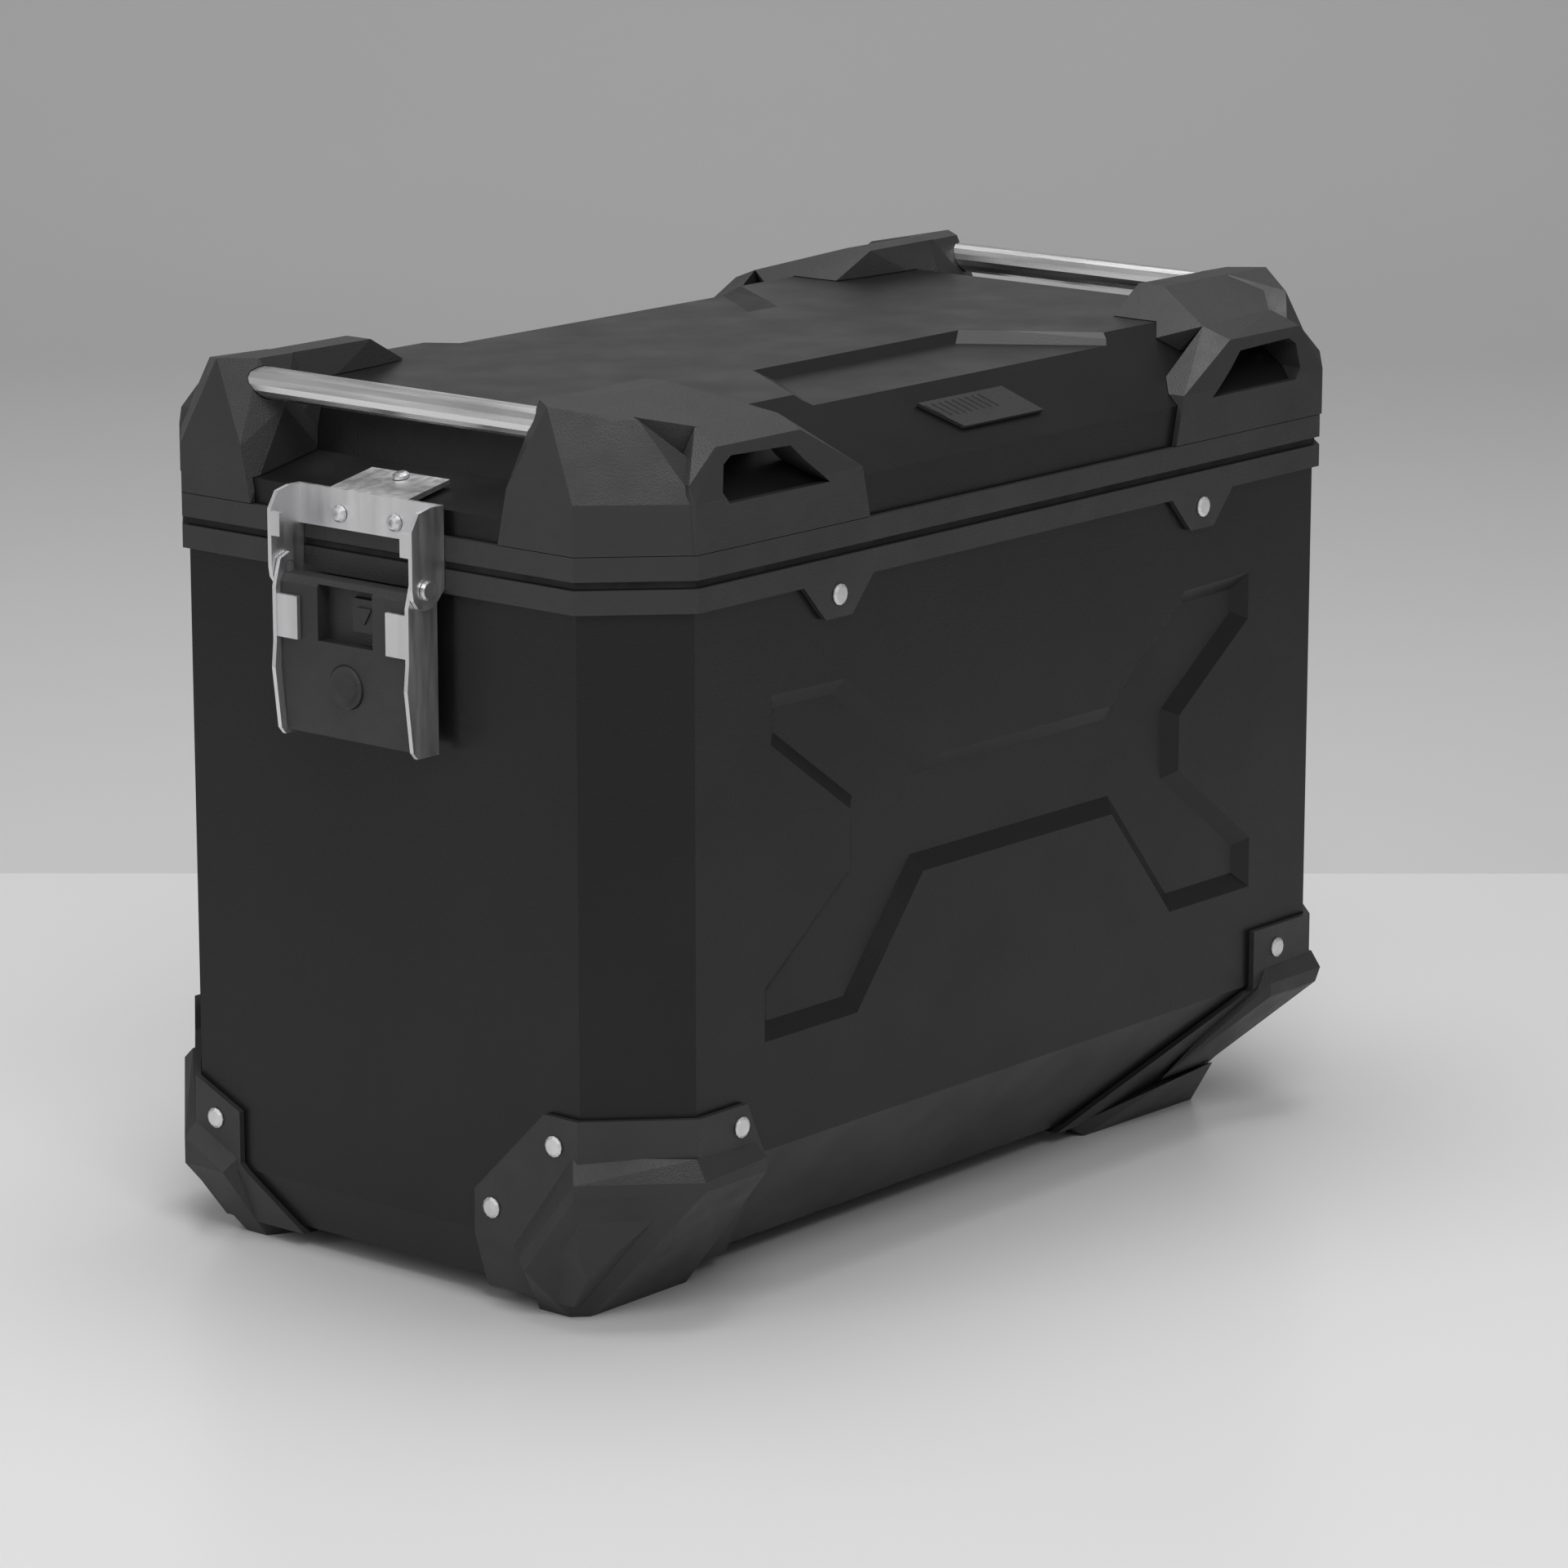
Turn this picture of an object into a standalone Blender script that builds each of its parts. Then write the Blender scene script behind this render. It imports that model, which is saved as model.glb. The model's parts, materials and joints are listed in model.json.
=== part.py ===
"""Hard aluminium motorcycle side case with a hinged lid, two draw latches and four riveted feet.

Frame: +X along the length, -Y is the outer face, +Z up, floor at z = 0, origin at the middle of the
floor footprint.  Dimensions below are in millimetres; put() turns them into Blender's metres.
A corner-based shape is drawn once in (a, b, z), a = distance from the middle along the length and
b = distance from the middle along the width, and is then turned to its own corner by two signs.
"""
import math

import bmesh
import bpy
from mathutils import Matrix, Vector

MM = 0.001                 # one millimetre in Blender units
GAP = 0.3                  # running and seating gap between neighbouring pieces

# Overall box, measured over the two collars
LENGTH = 500.0
WIDTH = 292.0
CORNER = 35.4              # leg of the 45 degree corner
SHEET = 1.8                # wall of body and lid
STEP = 3.0                 # how far the collars stand proud of the walls

# Heights
BODY_BOTTOM = 9.6
BODY_TOP = 308.0
COLLAR_BOTTOM = 300.0
COLLAR_HEIGHT = 10.0
SEAM = 3.5                 # between the two collars, filled by the seal
LID_FOLD = 341.0           # where the lid's long sides start to lean in
LID_TOP = 370.0
LID_LEAN = 38.0            # how far they lean in up to the top
LEDGE_OUTER = 334.0        # hand ledge at each end of the lid
LEDGE_INNER = 341.0
LEDGE_DEPTH = 37.0
LEDGE_WALL_RUN = 11.0

# Lower folds of the body: height of the fold and how far the bottom edge is set in
SIDE_FOLD = (65.3, 43.7)
LEFT_FOLD = (31.3, 6.8)
RIGHT_FOLD = (114.0, 72.0)

# Pressed X in the outer face: half outline from the top middle to the bottom middle
PRESS_DEPTH = 5.0
PRESS_SLOPE = 7.0
PRESS_HALF = [(64, 214), (118, 257), (166, 258), (166, 237), (115, 201),
              (115, 176), (170, 135), (170, 112), (110, 112), (66, 165)]

# Pressed shelves in the lid's top
SHELF_DEPTH = 4.5
SHELF_FRONT = 100.0
SHELF_BACK = 62.0
SHELF_EDGE = 57.0
SHELF_SLOPE = 8.0

# Rivets
RIVET_HEAD_R = 4.5
RIVET_HEAD = 1.4
TAB_X = 126.0
TAB_DROP = 15.5
TAB_TOP = 45.0
TAB_BOTTOM = 17.0
TAB_RIVET = 294.2

# Lid guards and bars
GUARD_SHELL = 250.0
BAR_R = 6.75
BAR_X = 233.0
BAR_Z = 372.0
BAR_HALF = 86.0

# Latches
PIVOT_A = 261.0
PIVOT_Z = 303.0
PIN_R = 2.5
PLATE = 2.0
LEVER_HALF = 38.5
ARM_INNER = 38.8
LEVER_BOTTOM = 233.0
POCKET_HALF = 15.5
CAP_R = 9.2
CAP_Z = 258.0

HALF_L = LENGTH / 2
HALF_W = WIDTH / 2
COLLAR_TOP = COLLAR_BOTTOM + COLLAR_HEIGHT
LID_COLLAR_BOTTOM = COLLAR_TOP + SEAM
LID_COLLAR_TOP = LID_COLLAR_BOTTOM + COLLAR_HEIGHT
LID_BOTTOM = LID_COLLAR_BOTTOM + 2.0
SLANT = math.sqrt(0.5)


# ---------------------------------------------------------------- materials

def make_material(name, colour, roughness, metallic):
    material = bpy.data.materials.new(name)
    material.use_nodes = True
    shader = material.node_tree.nodes["Principled BSDF"]
    shader.inputs["Base Color"].default_value = (*colour, 1.0)
    shader.inputs["Roughness"].default_value = roughness
    shader.inputs["Metallic"].default_value = metallic
    return material


# ---------------------------------------------------------------- solids

def scratch(bm):
    """A scene object holding bm, in millimetres, in flat triangles that face out."""
    bmesh.ops.triangulate(bm, faces=bm.faces)
    bmesh.ops.recalc_face_normals(bm, faces=bm.faces)
    mesh = bpy.data.meshes.new("scratch")
    bm.to_mesh(mesh)
    bm.free()
    obj = bpy.data.objects.new("scratch", mesh)
    bpy.context.scene.collection.objects.link(obj)
    return obj


def boolean(target, operation, *tools):
    """Joins or cuts target with each tool in turn.  The tools are used up.

    The exact solver drops bodies on the coplanar faces here, so the manifold solver is used.
    """
    for tool in tools:
        modifier = target.modifiers.new("boolean", "BOOLEAN")
        modifier.object = tool
        modifier.operation = operation
        modifier.solver = "MANIFOLD"
        depsgraph = bpy.context.evaluated_depsgraph_get()
        mesh = bpy.data.meshes.new_from_object(target.evaluated_get(depsgraph))
        target.modifiers.clear()
        target.data = mesh
        bpy.data.objects.remove(tool)
    return target


def union(first, *others):
    return boolean(first, "UNION", *others)


def cut(first, *others):
    return boolean(first, "DIFFERENCE", *others)


def hull(points):
    """The convex solid around the points."""
    bm = bmesh.new()
    for point in points:
        bm.verts.new(point)
    result = bmesh.ops.convex_hull(bm, input=bm.verts)
    unused = [item for item in result["geom_interior"] if isinstance(item, bmesh.types.BMVert)]
    bmesh.ops.delete(bm, geom=unused, context="VERTS")
    bmesh.ops.dissolve_limit(bm, angle_limit=math.radians(0.2), verts=bm.verts, edges=bm.edges)
    return scratch(bm)


def half_spaces(planes, reach=600.0):
    """The convex solid inside all the planes, each given as (point, outward normal)."""
    bm = bmesh.new()
    bmesh.ops.create_cube(bm, size=2 * reach)
    for point, normal in planes:
        geometry = bm.verts[:] + bm.edges[:] + bm.faces[:]
        bmesh.ops.bisect_plane(bm, geom=geometry, plane_co=point, plane_no=normal, clear_outer=True)
        rim = [edge for edge in bm.edges if edge.is_boundary]
        if rim:
            bmesh.ops.contextual_create(bm, geom=rim)
    return scratch(bm)


def loft(*outlines):
    """A closed solid through outlines of equal length, with flat ends."""
    bm = bmesh.new()
    loops = [[bm.verts.new(point) for point in outline] for outline in outlines]
    count = len(loops[0])
    for lower, upper in zip(loops, loops[1:]):
        for i in range(count):
            j = (i + 1) % count
            bm.faces.new((lower[i], lower[j], upper[j], upper[i]))
    bm.faces.new(loops[0])
    bm.faces.new(loops[-1])
    return scratch(bm)


def extrude_xz(outline, y0, y1):
    return loft([(x, y0, z) for x, z in outline], [(x, y1, z) for x, z in outline])


def box(low, high):
    x0, y0, z0 = low
    x1, y1, z1 = high
    corners = [(x0, z0), (x1, z0), (x1, z1), (x0, z1)]
    return extrude_xz(corners, y0, y1)


def turned(profile, base, axis, sides=14):
    """A solid of revolution: profile holds (radius, height along axis), radius 0 at both ends."""
    bm = bmesh.new()
    loops = []
    for radius, height in profile:
        if radius == 0:
            loops.append([bm.verts.new((0, 0, height))])
        else:
            turns = [2 * math.pi * i / sides for i in range(sides)]
            loops.append([bm.verts.new((radius * math.cos(t), radius * math.sin(t), height)) for t in turns])
    for lower, upper in zip(loops, loops[1:]):
        for i in range(sides):
            j = (i + 1) % sides
            ring = [lower[i % len(lower)], lower[j % len(lower)], upper[j % len(upper)], upper[i % len(upper)]]
            bm.faces.new(list(dict.fromkeys(ring)))
    turn = Vector((0, 0, 1)).rotation_difference(Vector(axis)).to_matrix().to_4x4()
    bmesh.ops.transform(bm, matrix=Matrix.Translation(base) @ turn, verts=bm.verts)
    return scratch(bm)


def rod(radius, start, end, sides=12):
    start = Vector(start)
    length = (Vector(end) - start).length
    axis = (Vector(end) - start).normalized()
    return turned([(0, 0), (radius, 0), (radius, length), (0, length)], start, axis, sides)


def ring(profile):
    """A closed section of (inset from the collar's outline, z), carried round the plan."""
    bm = bmesh.new()
    loops = [[bm.verts.new((x, y, z)) for x, y in plan(inset)] for inset, z in profile]
    count = len(loops)
    for k in range(count):
        lower = loops[k]
        upper = loops[(k + 1) % count]
        for i in range(8):
            j = (i + 1) % 8
            bm.faces.new((lower[i], lower[j], upper[j], upper[i]))
    return scratch(bm)


def plan(inset):
    """Corners of the eight-sided plan, moved in by inset from the collar's outline."""
    a = HALF_L - inset
    b = HALF_W - inset
    leg = CORNER - inset * (2 - math.sqrt(2))
    quarter = [(a, b - leg), (a - leg, b)]
    points = []
    for sx, sy, order in ((1, 1, 1), (-1, 1, -1), (-1, -1, 1), (1, -1, -1)):
        points += [(sx * x, sy * y) for x, y in quarter[::order]]
    return points


def at_corner(points, sx, sy):
    return [(sx * a, sy * b, z) for a, b, z in points]


def inset_outline(points, distance):
    """Moves each side of a counter-clockwise outline in by distance."""
    lines = []
    for start, end in zip(points, points[1:] + points[:1]):
        along = (Vector(end) - Vector(start)).normalized()
        lines.append((Vector(start) + Vector((-along.y, along.x)) * distance, along))
    moved = []
    for (p, u), (q, v) in zip(lines[-1:] + lines[:-1], lines):
        moved.append(p + u * ((q - p).cross(v) / u.cross(v)))
    return moved


def press(obj, y, outline, slope, depth):
    """Presses an outline into the flat wall at y, by depth along +Y, with sloped sides."""
    bm = bmesh.new()
    bm.from_mesh(obj.data)
    wall = [face for face in bm.faces if all(abs(vert.co.y - y) < 0.01 for vert in face.verts)]
    bmesh.ops.delete(bm, geom=wall, context="FACES")
    rim = [edge for edge in bm.edges if edge.is_boundary]
    top = [bm.verts.new((x, y, z)) for x, z in outline]
    floor = [bm.verts.new((x, y + depth, z)) for x, z in inset_outline(outline, slope)]
    for loop in (top, floor):
        edges = [bm.edges.new((a, b)) for a, b in zip(loop, loop[1:] + loop[:1])]
        bmesh.ops.triangle_fill(bm, use_beauty=True, use_dissolve=False, edges=edges + (rim if loop is top else []))
    for i in range(len(top)):
        j = (i + 1) % len(top)
        bm.faces.new((top[i], top[j], floor[j], floor[i]))
    bpy.data.objects.remove(obj)
    return scratch(bm)


def put(obj, name, material, parent=None, smooth=False):
    """Gives a finished solid its name, metres, material and parent."""
    mesh = obj.data
    mesh.transform(Matrix.Scale(MM, 4))
    obj.name = name
    mesh.name = name
    mesh.materials.clear()
    mesh.materials.append(material)
    if smooth:
        mesh.shade_smooth()
        mesh.set_sharp_from_angle(angle=math.radians(35))
    if parent:
        obj.parent = parent
        obj.location = -Vector(parent["world"])
    return obj


def joint_empty(name, x, y, z, parent=None):
    """An empty on a joint's axis; its world place is kept for what hangs from it."""
    empty = bpy.data.objects.new(name, None)
    bpy.context.scene.collection.objects.link(empty)
    world = Vector((x, y, z)) * MM
    empty.location = world
    if parent:
        empty.parent = parent
        empty.location = world - Vector(parent["world"])
    empty["world"] = world
    return empty


# ---------------------------------------------------------------- shared outlines

def side_planes(inset):
    """The eight upright walls, moved in by inset from the collar's outline."""
    planes = []
    for sign in (-1, 1):
        planes.append(((sign * (HALF_L - inset), 0, 0), (sign, 0, 0)))
        planes.append(((0, sign * (HALF_W - inset), 0), (0, sign, 0)))
    reach = (HALF_L + HALF_W - CORNER) * SLANT - inset
    for sx in (-1, 1):
        for sy in (-1, 1):
            normal = Vector((sx * SLANT, sy * SLANT, 0))
            planes.append((normal * reach, normal))
    return planes


def fold_plane(half, fold, axis, sign, grow):
    """The panel that leans in below a fold, moved out by grow."""
    height, set_in = fold
    drop = height - BODY_BOTTOM
    normal = Vector((0, 0, -set_in))
    normal[axis] = sign * drop
    normal.normalize()
    point = Vector((0, 0, height))
    point[axis] = sign * (half - STEP)
    return (point + normal * grow, normal)


def body_solid(grow, top=BODY_TOP):
    """The body's outer shape, with every face moved out by grow."""
    planes = side_planes(STEP - grow)
    planes += [fold_plane(HALF_W, SIDE_FOLD, 1, sign, grow) for sign in (-1, 1)]
    planes.append(fold_plane(HALF_L, LEFT_FOLD, 0, -1, grow))
    planes.append(fold_plane(HALF_L, RIGHT_FOLD, 0, 1, grow))
    planes.append(((0, 0, BODY_BOTTOM - grow), (0, 0, -1)))
    planes.append(((0, 0, top), (0, 0, 1)))
    return half_spaces(planes)


def lid_solid(grow, bottom):
    """The lid's outer shape: a block between the two ledges, joined to a low block over all."""
    side = Vector((0, -(LID_TOP - LID_FOLD), -LID_LEAN)).normalized()
    shared = side_planes(STEP - grow)
    for sign in (-1, 1):
        normal = Vector((0, sign * -side.y, -side.z))
        shared.append((Vector((0, sign * (HALF_W - STEP), LID_FOLD)) + normal * grow, normal))
    shared.append(((0, 0, bottom), (0, 0, -1)))
    high = [((0, 0, LID_TOP + grow), (0, 0, 1))]
    low = [((0, 0, LEDGE_INNER + 2.0 + grow), (0, 0, 1))]
    for sign in (-1, 1):
        foot = HALF_L - STEP - LEDGE_DEPTH
        wall = Vector((sign * (LID_TOP - LEDGE_INNER), 0, LEDGE_WALL_RUN)).normalized()
        high.append((Vector((sign * foot, 0, LEDGE_INNER)) + wall * grow, wall))
        ledge = Vector((sign * (LEDGE_INNER - LEDGE_OUTER), 0, LEDGE_DEPTH)).normalized()
        low.append((Vector((sign * (HALF_L - STEP), 0, LEDGE_OUTER)) + ledge * grow, ledge))
    return union(half_spaces(shared + high), half_spaces(shared + low))


def shelf(sy, grow):
    """One pressed shelf of the lid's top as a solid; grow thickens it for the inside."""
    def outline(spread, z):
        front = HALF_W
        lean = (SHELF_FRONT - SHELF_BACK) / (LID_LEAN + 15)
        wide = SHELF_BACK + spread + lean * (front - SHELF_EDGE)
        back = SHELF_EDGE - spread * 0.6
        corners = [(-wide, front), (wide, front), (SHELF_BACK + spread, back), (-SHELF_BACK - spread, back)]
        return [(x, sy * y, z) for x, y in corners]
    floor = LID_TOP - SHELF_DEPTH
    rise = SHELF_SLOPE / SHELF_DEPTH
    return loft(outline(grow, floor - grow), outline(SHELF_SLOPE + rise + grow, LID_TOP + 1))


# ---------------------------------------------------------------- rivets

def rivet_places():
    """Every rivet as name: (point on the wall's outer face, outward normal)."""
    wall_y = HALF_W - STEP
    wall_x = HALF_L - STEP
    places = {}
    for label, sy in (("front", -1), ("back", 1)):
        for side, sx in (("left", -1), ("right", 1)):
            places[f"tab_rivet_{label}_{side}"] = ((sx * TAB_X, sy * wall_y, TAB_RIVET), (0, sy, 0))
    places["foot_rivet_front_left_side"] = ((-188.6, -wall_y, 80.4), (0, -1, 0))
    places["foot_rivet_front_left_upper"] = ((-wall_x, -98.0, 77.0), (-1, 0, 0))
    places["foot_rivet_front_left_lower"] = ((-wall_x, -63.0, 44.0), (-1, 0, 0))
    places["foot_rivet_back_left_end"] = ((-wall_x, 98.0, 52.0), (-1, 0, 0))
    places["foot_rivet_back_left_side"] = ((-205.0, wall_y, 76.0), (0, 1, 0))
    for label, sy in (("front", -1), ("back", 1)):
        places[f"foot_rivet_{label}_right_side"] = ((188.6, sy * wall_y, 80.4), (0, sy, 0))
        point, normal = fold_plane(HALF_L, RIGHT_FOLD, 0, 1, 0)
        down = Vector((normal.z, 0, -normal.x))
        place = point + down * 60.0 + Vector((0, sy * 84.0, 0))
        places[f"foot_rivet_{label}_right_end"] = (tuple(place), tuple(normal))
    return places


def rivet(name):
    """The domed head of a blind rivet, seated just clear of the flange it holds down."""
    point, normal = rivet_places()[name]
    seat = STEP + GAP
    profile = [(0, seat), (RIVET_HEAD_R, seat), (RIVET_HEAD_R, seat + RIVET_HEAD * 0.4),
               (RIVET_HEAD_R * 0.75, seat + RIVET_HEAD * 0.9), (0, seat + RIVET_HEAD)]
    return turned(profile, point, normal, 12)


# ---------------------------------------------------------------- body and lid

def body_shell():
    shell = cut(body_solid(0), body_solid(-SHEET, BODY_TOP + 20))
    outline = [(-x, z) for x, z in PRESS_HALF] + [(x, z) for x, z in reversed(PRESS_HALF)]
    outer_wall = -(HALF_W - STEP)
    shell = press(shell, outer_wall, outline, PRESS_SLOPE, PRESS_DEPTH)
    return press(shell, outer_wall + SHEET, inset_outline(outline, -SHEET / 2), PRESS_SLOPE, PRESS_DEPTH)


def body_collar():
    """A U section over the wall's top edge, with four riveted tabs."""
    leg = STEP - GAP
    inner = STEP + SHEET + GAP
    collar = ring([(0, COLLAR_BOTTOM), (0, COLLAR_TOP), (inner + 1.9, COLLAR_TOP), (inner + 1.9, COLLAR_BOTTOM + 2),
                   (inner, COLLAR_BOTTOM + 2), (inner, BODY_TOP + GAP), (leg, BODY_TOP + GAP),
                   (leg, COLLAR_BOTTOM)])
    tabs = []
    for sx in (-1, 1):
        for sy in (-1, 1):
            low = COLLAR_BOTTOM - TAB_DROP
            outline = [(-TAB_TOP / 2, COLLAR_BOTTOM), (-TAB_BOTTOM / 2, low), (TAB_BOTTOM / 2, low),
                       (TAB_TOP / 2, COLLAR_BOTTOM), (TAB_TOP / 2, COLLAR_BOTTOM + 4), (-TAB_TOP / 2, COLLAR_BOTTOM + 4)]
            points = [(sx * TAB_X + x, z) for x, z in outline]
            tabs.append(extrude_xz(points, sy * HALF_W, sy * (HALF_W - leg)))
    return union(collar, *tabs)


def lid_shell():
    """The lid's sheet, cut open from below."""
    cavity = cut(lid_solid(-SHEET, LID_BOTTOM - 10), shelf(-1, SHEET), shelf(1, SHEET))
    return cut(lid_solid(0, LID_BOTTOM), cavity, shelf(-1, 0), shelf(1, 0))


def lid_collar():
    leg = STEP - GAP
    inner = STEP + SHEET + GAP
    web = LID_BOTTOM - GAP
    return ring([(0, LID_COLLAR_BOTTOM), (0, LID_COLLAR_TOP), (leg, LID_COLLAR_TOP), (leg, web), (inner, web),
                 (inner, LID_COLLAR_TOP - 2), (inner + 1.9, LID_COLLAR_TOP - 2), (inner + 1.9, LID_COLLAR_BOTTOM)])


def lid_seal():
    low = COLLAR_TOP + GAP
    high = LID_COLLAR_BOTTOM - GAP
    return ring([(2.2, low), (2.2, high), (6.5, high), (6.5, low)])


def badge():
    """A blank leaning-sided plate on the lid's front slope."""
    lean = Vector((0, LID_LEAN, LID_TOP - LID_FOLD)).normalized()
    out = Vector((0, -lean.z, lean.y))
    foot = Vector((0, -(HALF_W - STEP), LID_FOLD))
    outline = [(-29, 12), (25, 12), (13, 29), (-44, 29)]
    lower = [foot + Vector((x, 0, 0)) + lean * s + out * GAP for x, s in outline]
    upper = [point + out * 1.6 for point in lower]
    return loft(lower, upper)


# ---------------------------------------------------------------- guards, bars and feet

def guard(sx, sy):
    """Corner guard with a fin along the lid, the bar's socket and a strap eye."""
    low = LID_COLLAR_TOP + GAP
    edge = HALF_W - CORNER
    face = GUARD_SHELL
    corner = [(face, 70, low), (face, edge, low), (face - CORNER, HALF_W, low), (190, HALF_W, low), (190, 70, low),
              (face, 75, 347.5), (face, edge, 344.8), (face - CORNER, HALF_W, 344.4), (190, HALF_W, 344.4),
              (245, 93, 382), (228, 114.5, 376.5), (221.5, 121, 376.5), (215, 93, 382), (234, 79, 382),
              (215, 78, 382), (229, 69.5, 362)]
    fin = [(240, 92, 382), (168, 92, 382), (168, 78, 382), (234, 79, 382), (147, 80, 371), (147, 95, 371.5),
           (138, 83, 366), (134, 110, 364), (196, 130, 371.5), (146, 130, 370.5), (232, 70, 350),
           (160, 76, 350), (196, 130, 350), (140, 112, 350)]
    eye = [(216, HALF_W, 344.4), (217, 143.5, 352), (201, 143.5, 365.5), (148, 143.5, 365.5), (198, 130, 371.5),
           (146, 130, 370.5), (111, HALF_W, 345.5), (106, HALF_W, low), (216, HALF_W, low), (106, 130, low),
           (111, 130, 345.5), (216, 130, low), (212, 130, 352)]
    solid = union(*[hull(at_corner(points, sx, sy)) for points in (corner, fin, eye)])
    slot = [(199, 347), (197, 358), (192, 361), (155, 360), (147, 353), (132, 342), (195, 342)]
    pocket = extrude_xz([(sx * a, z) for a, z in slot], sy * 118, sy * (HALF_W + 5))
    bore = rod(BAR_R + GAP, (sx * BAR_X, 0, BAR_Z), (sx * BAR_X, sy * (BAR_HALF + GAP), BAR_Z), 16)
    return cut(solid, lid_solid(GAP, LID_BOTTOM - 10), pocket, bore)


def bar(sx):
    return rod(BAR_R, (sx * BAR_X, -BAR_HALF, BAR_Z), (sx * BAR_X, BAR_HALF, BAR_Z), 16)


def limit(sx, sy, a, b, z, value):
    """The half space a*A + b*B + z*Z <= value in corner terms."""
    normal = Vector((a, b, z))
    point = normal * (value / normal.length_squared)
    return ((sx * point.x, sy * point.y, point.z), (sx * normal.x, sy * normal.y, normal.z))


def foot(sx, sy, regions, blocks):
    """A flange that follows the body, with a bulge and sole, kept off the body by the gap."""
    flanges = []
    for region in regions:
        planes = side_planes(0)
        planes += [fold_plane(HALF_W, SIDE_FOLD, 1, sign, STEP) for sign in (-1, 1)]
        planes.append(fold_plane(HALF_L, LEFT_FOLD, 0, -1, STEP))
        planes.append(fold_plane(HALF_L, RIGHT_FOLD, 0, 1, STEP))
        planes.append(((0, 0, BODY_BOTTOM - STEP), (0, 0, -1)))
        planes += [limit(sx, sy, *values) for values in region]
        flanges.append(half_spaces(planes))
    solid = union(*flanges, *[hull(at_corner(points, sx, sy)) for points in blocks])
    return cut(solid, body_solid(GAP, 200.0))


def front_left_foot():
    inner = (-1, 0, 0.46, -148 + 4.6)
    region = [(0, 0, 1, 89.5), (0, -1, 1, -2.7), (0, -1, 0, -53), inner]
    block = [(250, 108, 74), (216.5, 146, 73), (180, 146, 72), (255, 112.7, 64), (216.7, 151, 64), (178, 151, 66),
             (178, 151, 60), (216.7, 151, 60), (255, 112.7, 58), (255, 82, 27), (250, 75, 30), (255, 85, 22),
             (238, 78, 0), (238, 95, 0), (232, 101, 0), (172, 101, 0), (176, 88, 0), (215, 72, 0)]
    return foot(-1, -1, [region], [block])


def back_left_foot():
    inner = (-1, 0, 0.46, -148 + 4.6)
    tab = [(0, -0.45, 1, 19.2), (0, -1, 0, -84), inner]
    toe = [(0, -1, 1.1, -46.6), inner]
    block = [(250, 86, 36), (250, 110.6, 48), (255, 112.7, 42), (255, 112.7, 30), (255, 90, 30), (216.7, 151, 62),
             (216.7, 151, 56), (178, 151, 62), (178, 151, 58), (216.5, 146, 67), (182, 146, 67), (239, 80, 0),
             (239, 92, 0), (232, 101, 0), (172, 101, 0), (176, 88, 0), (225, 72, 0)]
    return foot(-1, 1, [tab, toe], [block])


def right_foot(sy):
    upper = [(0, 0, 1, 91), (-1, 0, 0, -171), (0, 0, -1, -58), (0, -1, 0, -70)]
    lower = [(0, 0, 1, 63), (-1, 0, 1.486, -87 + 12.6), (0, -1, 0, -70)]
    bulge = [(216.5, 146, 73), (180, 146, 72), (216.7, 151, 66), (178, 151, 66), (178, 151, 60), (213, 151, 60),
             (195, 150.5, 59), (174, 119, 24), (142, 116, 22), (226, 136, 70), (215, 128, 56)]
    pad = [(175, 121, 24), (140, 118, 20), (186, 101, 0), (186, 80, 0), (107, 99, 0), (107, 88, 0), (176, 86, 12),
           (98, 98, 6)]
    return foot(1, sy, [upper, lower], [bulge, pad])


# ---------------------------------------------------------------- latch

def latch_bracket(sx):
    """Folded plate on the lid's end: top tongue, screw face, two arms to the pivot."""
    face = HALF_L + GAP
    ledge = (LEDGE_INNER - LEDGE_OUTER) / LEDGE_DEPTH
    seat = LEDGE_OUTER + 0.6
    front = [(face, 320), (face + PLATE, 320), (face + PLATE, seat + PLATE), (face, seat + PLATE)]
    plate = extrude_xz([(sx * a, z) for a, z in front], -ARM_INNER - PLATE, ARM_INNER + PLATE)
    back = face + PLATE - 26
    tongue_profile = [(face + PLATE, seat - 0.4), (back, seat + 26 * ledge), (back, seat + 26 * ledge + PLATE),
                      (face + PLATE, seat + PLATE)]
    tongue = extrude_xz([(sx * a, z) for a, z in tongue_profile], -22, 22)
    arms = []
    for sy in (-1, 1):
        outline = [(face, 334), (face, 302), (254.5, 297.5), (258, 295), (262, 294.6), (266, 296), (268.6, 299.5),
                   (269.3, 304), (269.3, 328), (265, 335), (258, 336.6), (face, 336.6)]
        arms.append(extrude_xz([(sx * a, z) for a, z in outline], sy * ARM_INNER, sy * (ARM_INNER + PLATE)))
        arms.append(box_between(sx, (267.3, 269.3), sy, (34, ARM_INNER + PLATE), (317, 327)))
    solid = union(plate, tongue, *arms)
    holes = [rod(PIN_R + GAP, (sx * PIVOT_A, -60, PIVOT_Z), (sx * PIVOT_A, 60, PIVOT_Z))]
    for point, normal in screw_places(sx):
        point = Vector(point)
        normal = Vector(normal)
        holes.append(rod(2.0 + GAP, point - normal * 5, point + normal * 5, 10))
    return cut(solid, *holes)


def box_between(sx, a_range, sy, b_range, z_range):
    """A box in corner terms, turned to its side."""
    x0, x1 = sorted(sx * a for a in a_range)
    y0, y1 = sorted(sy * b for b in b_range)
    return box((x0, y0, z_range[0]), (x1, y1, z_range[1]))


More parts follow.
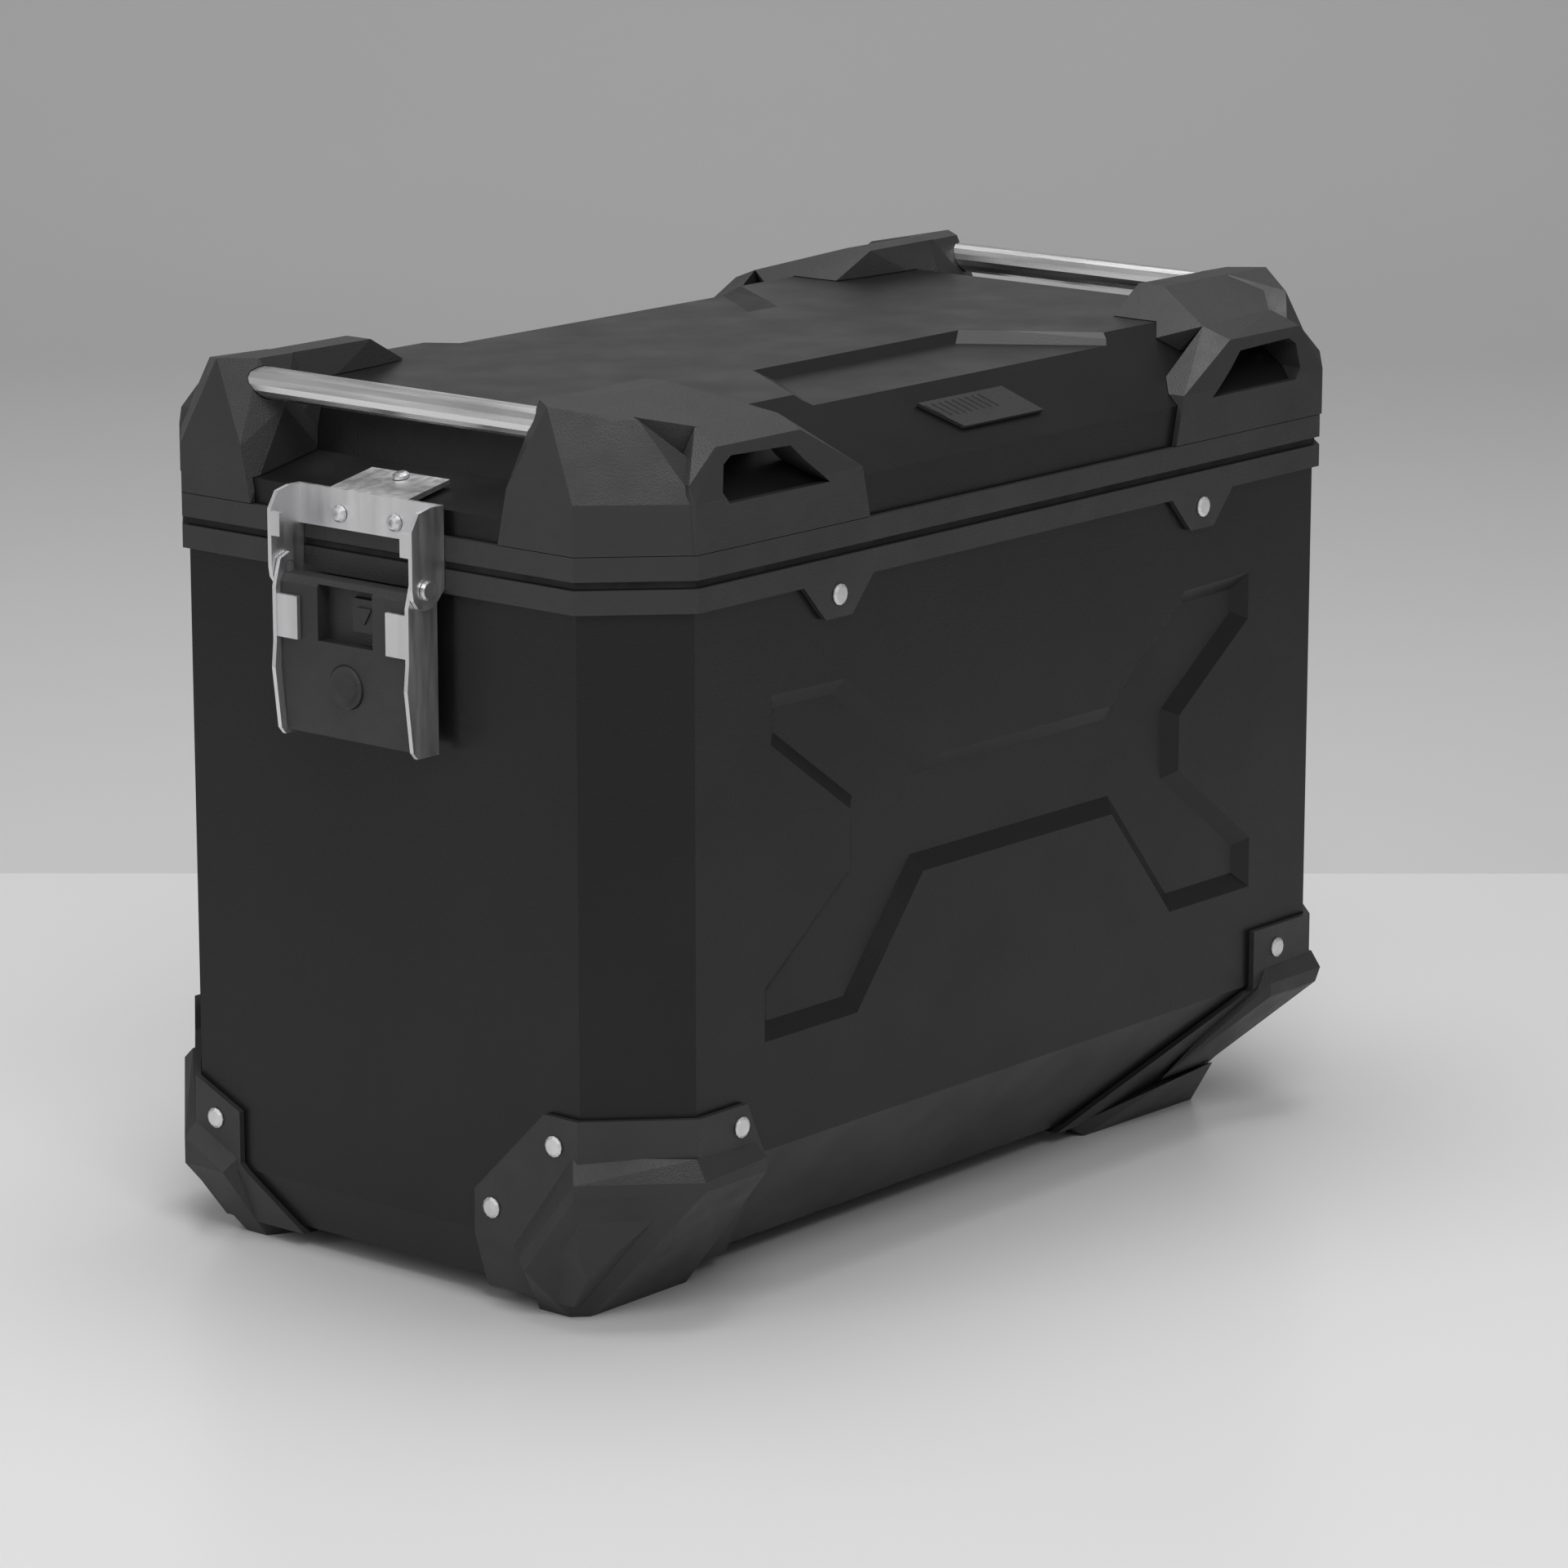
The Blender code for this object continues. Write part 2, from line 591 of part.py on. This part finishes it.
def screw_places(sx):
    """Middle of the screw on the plate's outer face, with its outward normal."""
    face = HALF_L + GAP + PLATE
    ledge = (LEDGE_INNER - LEDGE_OUTER) / LEDGE_DEPTH
    up = Vector((sx * ledge, 0, 1)).normalized()
    top = Vector((sx * (HALF_L - 18), 0, LEDGE_OUTER + 0.6 + 20.3 * ledge + PLATE))
    return [((sx * face, 15.6, 326.5), (sx, 0, 0)), ((sx * face, -15.6, 326.5), (sx, 0, 0)), (tuple(top), tuple(up))]


def bracket_screw(sx, index):
    """A button-head screw with a socket; the shank ends just outside the lid's sheet."""
    point, normal = screw_places(sx)[index]
    head = GAP
    profile = [(0, -PLATE - 0.5), (1.9, -PLATE - 0.5), (1.9, head), (3.8, head), (3.6, head + 1.2), (2.6, head + 2.0),
               (1.5, head + 2.2), (1.4, head + 0.9), (0, head + 0.9)]
    return turned(profile, point, normal, 12)


def pivot_pin(sx, sy):
    """Shouldered pin through the bracket's arm and the lever's side."""
    inner = LEVER_HALF - PLATE
    outer = ARM_INNER + PLATE + GAP
    profile = [(0, 0), (PIN_R, 0), (PIN_R, outer - inner), (4.2, outer - inner), (4.2, outer - inner + 1.0),
               (3.4, outer - inner + 1.6), (0, outer - inner + 1.6)]
    return turned(profile, (sx * PIVOT_A, sy * inner, PIVOT_Z), (0, sy, 0), 14)


def lever_frame(sx):
    """Folded lever: two sides, a back web and two front lugs over the cover."""
    parts = []
    outline = [(252.5, LEVER_BOTTOM), (265, LEVER_BOTTOM), (267.5, 236), (270.6, 262), (269.5, 273), (269.5, 296),
               (266.5, 307), (261, 309.3), (256, 307.5), (253.5, 303), (252.5, 297)]
    for sy in (-1, 1):
        points = [(sx * a, z) for a, z in outline]
        parts.append(extrude_xz(points, sy * (LEVER_HALF - PLATE), sy * LEVER_HALF))
        parts.append(box_between(sx, (267, 269), sy, (25, LEVER_HALF - 0.7), (275, 293)))
    parts.append(box_between(sx, (252.8, 254), 1, (-LEVER_HALF + 0.7, LEVER_HALF - 0.7), (240, 292)))
    solid = union(*parts)
    return cut(solid, rod(PIN_R + GAP, (sx * PIVOT_A, -60, PIVOT_Z), (sx * PIVOT_A, 60, PIVOT_Z)))


def lever_cover(sx):
    """Moulded cover inside the frame, with the finger pocket, the button's guide and the cap's bore."""
    half = LEVER_HALF - PLATE - GAP
    outline = [(254.3, 235), (264, 235), (266.7, 262), (266.7, 298), (264, 301), (256, 301), (254.3, 298)]
    block = extrude_xz([(sx * a, z) for a, z in outline], -half, half)
    pocket = box_between(sx, (260, 275), 1, (-POCKET_HALF, POCKET_HALF), (275.5, 299))
    guide = box_between(sx, (250, 275), sx, button_span(GAP), (280.7, 295.3))
    bore = rod(CAP_R + GAP, (sx * 258.5, 0, CAP_Z), (sx * 280, 0, CAP_Z), 20)
    return cut(block, pocket, guide, bore)


def button_span(gap):
    """The button sits in the half of the pocket towards the outer face of the left latch."""
    return (0.5 - gap, 14.5 + gap)


def release_button(sx):
    """Sliding push button with a raised arrow."""
    body = box_between(sx, (257.8, 262.5), sx, button_span(0), (281, 295))
    middle = sum(button_span(0)) / 2 * sx
    arrow = [(-4.2, 291.5), (0, 284.5), (4.2, 291.5)]
    points = [(middle + y, z) for y, z in arrow]
    face = sx * 262.3
    raised = loft([(face, y, z) for y, z in points], [(face + sx * 1.0, y, z) for y, z in points])
    return union(body, raised)


def lock_cap(sx):
    """Round dished cap that fills the lock's bore."""
    profile = [(0, 0), (CAP_R, 0), (CAP_R, 8.2), (CAP_R - 0.8, 9.0), (CAP_R - 1.6, 8.8), (CAP_R - 4, 7.6), (0, 7.0)]
    return turned(profile, (sx * 258.8, 0, CAP_Z), (sx, 0, 0), 20)


def striker(sx):
    """Catch plate on the body's end wall, under the collar."""
    wall = HALF_L - STEP + GAP
    parts = [box_between(sx, (wall, wall + 1.5), 1, (-20, 20), (262, 294)),
             box_between(sx, (wall, wall + 3.2), 1, (-16, 16), (284, 287))]
    return union(*parts)


def hook(sx):
    """Claw on the back of the lever, just clear of the striker's lip."""
    face = 252.5 - GAP
    return box_between(sx, (face - 1.2, face), 1, (-14, 14), (272, 280))


# ---------------------------------------------------------------- assembly

def clear_scene():
    for obj in list(bpy.data.objects):
        bpy.data.objects.remove(obj)


def build():
    clear_scene()
    sheet = make_material("black_coated_aluminium", (0.02, 0.02, 0.021), 0.38, 0.0)
    plastic = make_material("black_grained_plastic", (0.045, 0.045, 0.047), 0.6, 0.0)
    rubber = make_material("seal_rubber", (0.012, 0.012, 0.012), 0.8, 0.0)
    brushed = make_material("brushed_bar", (0.6, 0.6, 0.6), 0.3, 1.0)
    steel = make_material("satin_latch_steel", (0.45, 0.45, 0.46), 0.4, 1.0)
    rivet_metal = make_material("pale_rivet", (0.55, 0.55, 0.55), 0.5, 0.6)

    put(body_shell(), "body_shell", sheet)
    put(body_collar(), "body_collar", plastic)
    put(front_left_foot(), "foot_front_left", plastic)
    put(back_left_foot(), "foot_back_left", plastic)
    put(right_foot(-1), "foot_front_right", plastic)
    put(right_foot(1), "foot_back_right", plastic)
    for name in rivet_places():
        put(rivet(name), name, rivet_metal, smooth=True)

    lid = joint_empty("lid_hinge", PIVOT_A, 0, PIVOT_Z)
    put(lid_shell(), "lid_shell", sheet, lid)
    put(lid_collar(), "lid_collar", plastic, lid)
    put(lid_seal(), "lid_seal", rubber, lid)
    put(badge(), "badge_plate", plastic, lid)
    for label, sy in (("front", -1), ("back", 1)):
        for side, sx in (("left", -1), ("right", 1)):
            put(guard(sx, sy), f"lid_guard_{label}_{side}", plastic, lid)

    for side, sx in (("left", -1), ("right", 1)):
        put(bar(sx), f"carry_bar_{side}", brushed, lid, smooth=True)
        put(latch_bracket(sx), f"latch_bracket_{side}", steel, lid)
        for index, place in enumerate(("back", "front", "top")):
            put(bracket_screw(sx, index), f"bracket_screw_{side}_{place}", steel, lid, smooth=True)
        for label, sy in (("front", -1), ("back", 1)):
            put(pivot_pin(sx, sy), f"pivot_pin_{side}_{label}", steel, lid, smooth=True)
        lever = joint_empty(f"lever_pivot_{side}", sx * PIVOT_A, 0, PIVOT_Z, lid if sx < 0 else None)
        put(lever_frame(sx), f"lever_frame_{side}", steel, lever)
        put(lever_cover(sx), f"lever_cover_{side}", plastic, lever)
        put(lock_cap(sx), f"lock_cap_{side}", plastic, lever, smooth=True)
        put(hook(sx), f"latch_hook_{side}", steel, lever)
        button = joint_empty(f"button_guide_{side}", sx * 258, 0, 288, lever)
        put(release_button(sx), f"release_button_{side}", plastic, button)
        put(striker(sx), f"striker_{side}", steel)


build()
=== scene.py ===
"""Looks for the motorcycle side case: finishes, stage, lights and camera."""
import json
import math

import bmesh
import bpy
from mathutils import Matrix, Vector

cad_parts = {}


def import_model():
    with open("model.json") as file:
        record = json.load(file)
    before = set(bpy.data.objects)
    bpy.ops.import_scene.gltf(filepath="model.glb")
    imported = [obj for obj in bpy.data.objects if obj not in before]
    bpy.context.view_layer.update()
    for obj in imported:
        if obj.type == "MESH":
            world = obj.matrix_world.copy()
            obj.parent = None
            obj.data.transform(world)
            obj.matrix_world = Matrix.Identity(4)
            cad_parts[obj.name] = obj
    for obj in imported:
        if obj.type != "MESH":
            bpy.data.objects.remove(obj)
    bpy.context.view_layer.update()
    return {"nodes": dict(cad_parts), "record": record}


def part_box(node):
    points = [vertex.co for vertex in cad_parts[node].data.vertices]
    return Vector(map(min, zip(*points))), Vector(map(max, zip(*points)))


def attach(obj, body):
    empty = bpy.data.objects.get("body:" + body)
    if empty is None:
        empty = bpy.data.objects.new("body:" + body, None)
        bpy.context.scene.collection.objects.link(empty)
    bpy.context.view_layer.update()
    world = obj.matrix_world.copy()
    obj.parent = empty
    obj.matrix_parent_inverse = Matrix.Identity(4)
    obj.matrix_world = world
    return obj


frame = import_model()

# ---------------------------------------------------------------- finishes

class Finish:
    """A Principled material with object-space noise in its colour, roughness and bump."""

    def __init__(self, name, colour, roughness, metallic=0.0):
        self.material = bpy.data.materials.new(name)
        self.material.use_nodes = True
        self.tree = self.material.node_tree
        self.shader = self.tree.nodes["Principled BSDF"]
        self.shader.inputs["Metallic"].default_value = metallic
        self.shader.inputs["Roughness"].default_value = roughness
        self.colour = colour
        coords = self.tree.nodes.new("ShaderNodeTexCoord")
        self.mapping = self.tree.nodes.new("ShaderNodeMapping")
        self.tree.links.new(coords.outputs["Object"], self.mapping.inputs["Vector"])

    def noise(self, scale, detail=4.0):
        node = self.tree.nodes.new("ShaderNodeTexNoise")
        node.inputs["Scale"].default_value = scale
        node.inputs["Detail"].default_value = detail
        self.tree.links.new(self.mapping.outputs["Vector"], node.inputs["Vector"])
        return node

    def vary(self, source, low, high, socket):
        ramp = self.tree.nodes.new("ShaderNodeMapRange")
        ramp.inputs["From Min"].default_value = 0.3
        ramp.inputs["From Max"].default_value = 0.7
        ramp.inputs["To Min"].default_value = low
        ramp.inputs["To Max"].default_value = high
        self.tree.links.new(source.outputs["Fac"], ramp.inputs["Value"])
        self.tree.links.new(ramp.outputs["Result"], self.shader.inputs[socket])

    def tint(self, source, spread):
        ramp = self.tree.nodes.new("ShaderNodeValToRGB")
        ramp.color_ramp.elements[0].position = 0.3
        ramp.color_ramp.elements[1].position = 0.7
        ramp.color_ramp.elements[0].color = (*[c * (1 - spread) for c in self.colour], 1)
        ramp.color_ramp.elements[1].color = (*[c * (1 + spread) for c in self.colour], 1)
        self.tree.links.new(source.outputs["Fac"], ramp.inputs["Fac"])
        self.tree.links.new(ramp.outputs["Color"], self.shader.inputs["Base Color"])

    def bump(self, source, distance, strength):
        node = self.tree.nodes.new("ShaderNodeBump")
        node.inputs["Distance"].default_value = distance
        node.inputs["Strength"].default_value = strength
        self.tree.links.new(source.outputs["Fac"], node.inputs["Height"])
        self.tree.links.new(node.outputs["Normal"], self.shader.inputs["Normal"])


def coated_sheet():
    """Satin powder coat: orange peel at about a millimetre, with faint handling marks."""
    finish = Finish("coated_sheet", (0.007, 0.007, 0.0074), 0.36)
    finish.shader.inputs["Specular IOR Level"].default_value = 0.32
    finish.tint(finish.noise(9.0), 0.18)
    finish.vary(finish.noise(30.0), 0.28, 0.38, "Roughness")
    finish.bump(finish.noise(900.0, 2.0), 0.0002, 0.35)
    return finish.material


def grained_plastic():
    """Moulded plastic with a fine leather-like grain."""
    finish = Finish("grained_plastic", (0.024, 0.024, 0.025), 0.55)
    finish.tint(finish.noise(14.0), 0.15)
    finish.vary(finish.noise(60.0), 0.44, 0.58, "Roughness")
    finish.bump(finish.noise(1400.0, 3.0), 0.0004, 0.6)
    return finish.material


def seal_rubber():
    finish = Finish("rubber", (0.014, 0.014, 0.014), 0.8)
    finish.tint(finish.noise(40.0), 0.3)
    finish.vary(finish.noise(120.0), 0.7, 0.9, "Roughness")
    finish.bump(finish.noise(600.0), 0.0002, 0.4)
    return finish.material


def drawn_metal(name, colour, roughness, stretch):
    """Metal with fine lines along one direction; stretch squeezes the noise across it."""
    finish = Finish(name, colour, roughness, metallic=1.0)
    finish.mapping.inputs["Scale"].default_value = stretch
    finish.tint(finish.noise(60.0), 0.12)
    finish.vary(finish.noise(220.0), roughness - 0.07, roughness + 0.1, "Roughness")
    finish.bump(finish.noise(700.0, 2.0), 0.00005, 0.3)
    return finish.material


FINISHES = {
    "black_coated_aluminium": coated_sheet(),
    "black_grained_plastic": grained_plastic(),
    "seal_rubber": seal_rubber(),
    "brushed_bar": drawn_metal("bar_metal", (0.8, 0.8, 0.8), 0.28, (1.0, 0.08, 1.0)),
    "satin_latch_steel": drawn_metal("latch_metal", (0.72, 0.72, 0.73), 0.42, (1.0, 1.0, 0.12)),
    "pale_rivet": drawn_metal("rivet_metal", (0.78, 0.78, 0.78), 0.5, (1.0, 1.0, 1.0)),
}


def dress(obj, material, bevel):
    """One finish and a small rounded edge for a shown piece."""
    obj.data.materials.clear()
    obj.data.materials.append(material)
    if bevel:
        edge = obj.modifiers.new("edge", "BEVEL")
        edge.width = bevel
        edge.segments = 2
        edge.limit_method = "ANGLE"
        edge.angle_limit = math.radians(20)


SOFT_EDGE = {"black_coated_aluminium": 0.0006, "black_grained_plastic": 0.0006, "satin_latch_steel": 0.0002}

for part in frame["record"]["subparts"]:
    node = frame["nodes"][part["node"]]
    finish_name = part["material_slot"]
    dress(node, FINISHES[finish_name], SOFT_EDGE.get(finish_name, 0.0))


# ---------------------------------------------------------------- ribs on the blank plate

RIB_COUNT = 9
RIB_RADIUS = 0.0005
RIB_HALF_HEIGHT = 0.004
RIB_LEAN = 0.003
RIB_REACH = 0.26            # half the row of ribs, as a share of the plate's box


def plate_ribs():
    """Plain slanted ribs along the plate's largest upward face."""
    low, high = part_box("badge_plate")
    node = frame["nodes"]["badge_plate"]
    face = max(node.data.polygons, key=lambda polygon: polygon.area * (polygon.normal.z > 0))
    normal = face.normal.copy()
    along = Vector((1, 0, 0))
    across = normal.cross(along).normalized()
    middle = face.center.copy()
    reach = (high[0] - low[0]) * RIB_REACH
    curve = bpy.data.curves.new("plate_ribs", "CURVE")
    curve.dimensions = "3D"
    curve.bevel_depth = RIB_RADIUS
    curve.bevel_resolution = 2
    curve.use_fill_caps = True
    for index in range(RIB_COUNT):
        share = index / (RIB_COUNT - 1) * 2 - 1
        start = middle + along * (share * reach + RIB_LEAN) - across * RIB_HALF_HEIGHT
        end = middle + along * (share * reach - RIB_LEAN) + across * RIB_HALF_HEIGHT
        spline = curve.splines.new("POLY")
        spline.points.add(1)
        spline.points[0].co = (*start, 1)
        spline.points[1].co = (*end, 1)
    obj = bpy.data.objects.new("plate_ribs", curve)
    bpy.context.scene.collection.objects.link(obj)
    curve.materials.append(FINISHES["black_grained_plastic"])
    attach(obj, "lid")


plate_ribs()


# ---------------------------------------------------------------- stage, light and camera

TABLE_FRONT = -3.0
TABLE_EDGE = 0.505
WALL = 3.0
WALL_TOP = 4.0
COVE = 0.8
COVE_STEPS = 8
HALF_STAGE = 6.0
VIEW_AZIMUTH = -50.0        # the stage is turned to face the camera
LAMP_AIM = (0, 0, 0.18)


def stage():
    """A pale table top, with a grey paper behind its edge that turns up into a backdrop."""
    bm = bmesh.new()
    section = [(TABLE_FRONT, 0.0), (TABLE_EDGE, 0.0), (WALL - COVE, 0.0)]
    for step in range(1, COVE_STEPS + 1):
        turn = step * math.pi / 2 / COVE_STEPS
        section.append((WALL - COVE + COVE * math.sin(turn), COVE - COVE * math.cos(turn)))
    section.append((WALL, WALL_TOP))
    rows = [[bm.verts.new((across, along, z)) for across in (-HALF_STAGE, HALF_STAGE)] for along, z in section]
    for index, (lower, upper) in enumerate(zip(rows, rows[1:])):
        face = bm.faces.new((lower[0], lower[1], upper[1], upper[0]))
        face.material_index = min(index, 1)
        face.smooth = index > 0
    mesh = bpy.data.meshes.new("stage")
    bm.to_mesh(mesh)
    bm.free()
    obj = bpy.data.objects.new("stage", mesh)
    obj.rotation_euler.z = math.radians(VIEW_AZIMUTH)
    bpy.context.scene.collection.objects.link(obj)
    table = Finish("table_top", (0.74, 0.74, 0.74), 0.3)
    table.tint(table.noise(2.0), 0.01)
    paper = Finish("grey_paper", (0.56, 0.56, 0.56), 0.8)
    paper.tint(paper.noise(2.0), 0.01)
    mesh.materials.append(table.material)
    mesh.materials.append(paper.material)


def lamp(name, place, size, power):
    """A square softbox aimed at the case."""
    data = bpy.data.lights.new(name, "AREA")
    data.size = size
    data.energy = power
    obj = bpy.data.objects.new(name, data)
    obj.location = place
    obj.rotation_euler = (Vector(LAMP_AIM) - Vector(place)).to_track_quat("-Z", "Y").to_euler()
    bpy.context.scene.collection.objects.link(obj)


def camera():
    """A long lens from the near left corner, level with the lid's top."""
    data = bpy.data.cameras.new("camera")
    data.sensor_width = 36.0
    data.lens = 140.2
    obj = bpy.data.objects.new("camera", data)
    right = Vector((0.6433, -0.7656, 0.0)).normalized()
    forward = Vector((0.7449, 0.6259, -0.2309)).normalized()
    up = right.cross(forward).normalized()
    turn = Matrix((right, up, -forward)).transposed().to_4x4()
    obj.matrix_world = Matrix.Translation((-2.02295, -1.71027, 0.79753)) @ turn
    bpy.context.scene.collection.objects.link(obj)
    bpy.context.scene.camera = obj


def world():
    """Even grey light from all round."""
    data = bpy.data.worlds.new("studio")
    data.use_nodes = True
    background = data.node_tree.nodes["Background"]
    background.inputs["Color"].default_value = (0.7, 0.7, 0.7, 1)
    background.inputs["Strength"].default_value = 0.4
    bpy.context.scene.world = data


camera()
stage()
world()
lamp("key", (-1.2, -1.6, 2.2), 1.4, 30)
lamp("fill", (-2.4, 0.6, 1.2), 1.6, 12)
lamp("top", (0.2, 0.2, 2.4), 1.6, 34)
bpy.context.scene.view_settings.view_transform = "Standard"
